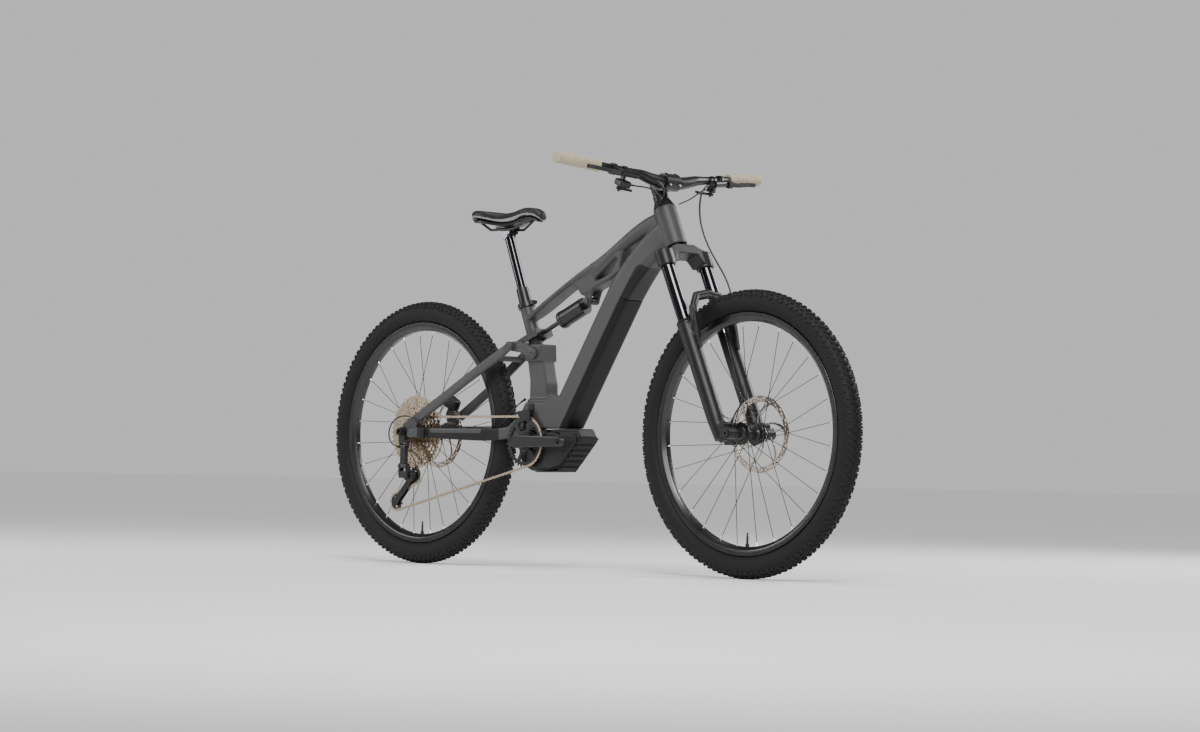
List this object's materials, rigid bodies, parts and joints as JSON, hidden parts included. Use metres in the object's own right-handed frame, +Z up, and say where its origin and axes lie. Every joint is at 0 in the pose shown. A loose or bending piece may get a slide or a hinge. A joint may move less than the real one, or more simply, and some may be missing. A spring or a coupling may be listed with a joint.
{
  "type": "electric mountain bike",
  "caption": "Full-suspension electric mountain bike with suspension fork, rear shock linkage, mid motor, disc brakes and a derailleur; pedals not fitted.",
  "frame": {"origin": "on the ground, midway between the wheel axles, on the centre plane", "axes": "+X forward, +Y to the rider's left, +Z up"},
  "size_m": [2.012, 0.7766, 1.0993],
  "materials": {
    "frame_carbon": "matt mid-dark grey paint over moulded carbon",
    "black_plastic": "matt black moulded cover",
    "motor_case": "matt black cast casing",
    "battery": "black casing",
    "black_alloy": "black anodised",
    "hardware": "bolts and bearings",
    "rubber": "black rubber",
    "grip_rubber": "cream ribbed rubber",
    "tyre_rubber": "knobbly tread",
    "rim_carbon": "gloss black carbon",
    "spoke_steel": "black spokes with silver nipples",
    "stanchion": "polished dark coating",
    "fork_paint": "satin black magnesium",
    "rotor_steel": "brushed stainless",
    "cassette_steel": "warm silver steel",
    "chain_steel": "warm silver steel",
    "saddle_skin": "black cover with grey edge",
    "saddle_base": "black shell and rails",
    "hose": "black hose"
  },
  "bodies": {
    "frame": {"main_frame": "frame_carbon", "battery_cover": "black_plastic", "battery_pack": "battery", "drive_unit": "motor_case", "motor_skid_plate": "black_plastic", "frame_hardware": "hardware", "dropper_outer_tube": "black_alloy", "chain_guide": "black_plastic"},
    "saddle_post": {"dropper_upper_tube": "black_alloy", "saddle_frame": "saddle_base", "saddle_cover": "saddle_skin"},
    "steering": {"fork_crown": "fork_paint", "fork_stanchions": "stanchion", "headset_spacers": "black_alloy", "stem": "black_alloy", "handlebar": "black_alloy", "grips": "grip_rubber", "brake_masters": "black_alloy", "bar_controls": "black_plastic", "front_brake_hose": "hose", "rear_brake_hose": "hose", "shift_housing": "hose", "dropper_housing": "hose"},
    "left_brake_lever": {"brake_lever_left": "black_alloy"},
    "right_brake_lever": {"brake_lever_right": "black_alloy"},
    "upshift_lever": {"shift_lever_up": "black_plastic"},
    "downshift_lever": {"shift_lever_down": "black_plastic"},
    "post_lever": {"dropper_lever": "black_alloy"},
    "fork_slider": {"fork_lowers": "fork_paint", "front_axle": "hardware", "front_caliper": "black_alloy"},
    "front_wheel": {"front_tyre": "tyre_rubber", "front_rim": "rim_carbon", "front_spokes": "spoke_steel", "front_hub": "black_alloy", "front_rotor": "rotor_steel"},
    "rear_wheel": {"rear_tyre": "tyre_rubber", "rear_rim": "rim_carbon", "rear_spokes": "spoke_steel", "rear_hub": "black_alloy", "rear_rotor": "rotor_steel"},
    "cassette_body": {"cassette": "cassette_steel"},
    "chainstay": {"chainstays": "frame_carbon", "chainstay_guard": "rubber", "chain": "chain_steel", "chainstay_hose": "hose"},
    "seatstay": {"seatstays": "frame_carbon", "rear_axle": "black_alloy", "rear_caliper": "black_alloy", "derailleur_housing": "hose"},
    "rocker": {"rocker_link": "frame_carbon"},
    "shock_body": {"shock_can": "black_alloy"},
    "shock_piston": {"shock_shaft": "stanchion"},
    "crank": {"crank_arms": "black_alloy", "chainring": "black_alloy"},
    "derailleur_swing": {"derailleur_link": "black_alloy"},
    "derailleur_body": {"derailleur_knuckle": "black_alloy"},
    "cage": {"derailleur_cage": "black_alloy"},
    "guide_wheel": {"guide_pulley": "black_plastic"},
    "tension_wheel": {"tension_pulley": "black_plastic"}
  },
  "joints": [
    {"name": "post_drop", "type": "slide", "parent": "frame", "child": "saddle_post", "axis": [0.3649, 0, -0.9311], "range_m": [0, 0.15], "stiffness_N_per_m": 500, "springref_m": -0.1},
    {"name": "steering", "type": "hinge", "parent": "frame", "child": "steering", "pos_m": [0.35707, 0, 0.86997], "axis": [-0.4147, 0, 0.91], "range_deg": [-60, 60]},
    {"name": "left_brake", "type": "hinge", "parent": "steering", "child": "left_brake_lever", "pos_m": [0.34712, 0.21392, 1.05295], "axis": [0.33, -0.0471, 0.9428], "range_deg": [0, 12], "stiffness_Nm_per_rad": 6, "springref_deg": -5.73},
    {"name": "right_brake", "type": "hinge", "parent": "steering", "child": "right_brake_lever", "pos_m": [0.34712, -0.21392, 1.05295], "axis": [-0.33, -0.0471, -0.9428], "range_deg": [0, 12], "stiffness_Nm_per_rad": 6, "springref_deg": -5.73},
    {"name": "upshift", "type": "hinge", "parent": "steering", "child": "upshift_lever", "pos_m": [0.31269, -0.17521, 1.01428], "axis": [-0.33, -0.0471, -0.9428], "range_deg": [0, 14], "stiffness_Nm_per_rad": 1, "springref_deg": -5.73},
    {"name": "downshift", "type": "hinge", "parent": "steering", "child": "downshift_lever", "pos_m": [0.31269, -0.17521, 1.01428], "axis": [-0.33, -0.0471, -0.9428], "range_deg": [0, 14], "stiffness_Nm_per_rad": 1, "springref_deg": -5.73},
    {"name": "post_remote", "type": "hinge", "parent": "steering", "child": "post_lever", "pos_m": [0.31761, 0.16876, 1.02496], "axis": [0.33, -0.0471, 0.9428], "range_deg": [0, 14], "stiffness_Nm_per_rad": 1, "springref_deg": -5.73},
    {"name": "fork_travel", "type": "slide", "parent": "steering", "child": "fork_slider", "axis": [-0.4147, 0, 0.91], "range_m": [0, 0.15], "stiffness_N_per_m": 8000, "springref_m": -0.025, "deforming": ["front_brake_hose"]},
    {"name": "front_wheel_spin", "type": "hinge", "parent": "fork_slider", "child": "front_wheel", "pos_m": [0.631, 0, 0.375], "axis": [0, 1, 0], "continuous": true},
    {"name": "suspension", "type": "hinge", "parent": "frame", "child": "chainstay", "pos_m": [-0.186, 0, 0.4], "axis": [0, 1, 0], "range_deg": [0, 18.5], "stiffness_Nm_per_rad": 1500, "springref_deg": -4.01, "deforming": ["chain", "chainstay_hose"]},
    {"name": "dropout_pivot", "type": "hinge", "parent": "chainstay", "child": "seatstay", "pos_m": [-0.597, 0, 0.37], "axis": [0, 1, 0], "range_deg": [-7.74, 0.3], "deforming": ["derailleur_housing"]},
    {"name": "rocker_pivot", "type": "hinge", "parent": "frame", "child": "rocker", "pos_m": [-0.151, 0, 0.593], "axis": [0, 1, 0], "range_deg": [-0.3, 55.31]},
    {"name": "shock_mount", "type": "hinge", "parent": "frame", "child": "shock_body", "pos_m": [0.042, 0, 0.734], "axis": [0, 1, 0], "range_deg": [-0.3, 8.22]},
    {"name": "shock_stroke", "type": "slide", "parent": "shock_body", "child": "shock_piston", "axis": [0.916, 0, 0.4012], "range_m": [-0.0003, 0.06853]},
    {"name": "rear_wheel_spin", "type": "hinge", "parent": "seatstay", "child": "rear_wheel", "pos_m": [-0.631, 0, 0.375], "axis": [0, 1, 0], "continuous": true},
    {"name": "crank_spin", "type": "hinge", "parent": "frame", "child": "crank", "pos_m": [-0.158, 0, 0.35], "axis": [0, 1, 0], "continuous": true},
    {"name": "cassette_spin", "type": "hinge", "parent": "seatstay", "child": "cassette_body", "pos_m": [-0.631, 0, 0.375], "axis": [0, 1, 0], "continuous": true},
    {"name": "derailleur_shift", "type": "hinge", "parent": "seatstay", "child": "derailleur_swing", "pos_m": [-0.622, -0.084, 0.333], "axis": [1, 0, 0], "range_deg": [-18, 14], "stiffness_Nm_per_rad": 8},
    {"name": "derailleur_level", "type": "hinge", "parent": "derailleur_swing", "child": "derailleur_body", "pos_m": [-0.622, -0.084, 0.277], "axis": [1, 0, 0], "range_deg": [-14.2, 18.2]},
    {"name": "cage_swing", "type": "hinge", "parent": "derailleur_body", "child": "cage", "pos_m": [-0.613, -0.052, 0.25], "axis": [0, 1, 0], "range_deg": [-40, 15], "stiffness_Nm_per_rad": 3},
    {"name": "guide_pulley_spin", "type": "hinge", "parent": "cage", "child": "guide_wheel", "pos_m": [-0.613, -0.052, 0.25], "axis": [0, 1, 0], "continuous": true},
    {"name": "tension_pulley_spin", "type": "hinge", "parent": "cage", "child": "tension_wheel", "pos_m": [-0.685, -0.052, 0.175], "axis": [0, 1, 0], "continuous": true}
  ],
  "couplings": [
    {"joint": "dropout_pivot", "follows": "suspension", "ratio": -0.40209},
    {"joint": "rocker_pivot", "follows": "suspension", "ratio": 2.9734},
    {"joint": "shock_mount", "follows": "suspension", "ratio": 0.42814},
    {"joint": "shock_stroke", "follows": "suspension", "m_per_rad": 0.21131},
    {"joint": "cassette_spin", "follows": "crank_spin", "ratio": 1.6191},
    {"joint": "guide_pulley_spin", "follows": "crank_spin", "ratio": -2.8333},
    {"joint": "tension_pulley_spin", "follows": "crank_spin", "ratio": 2.8333},
    {"joint": "derailleur_level", "follows": "derailleur_shift", "ratio": -1}
  ]
}
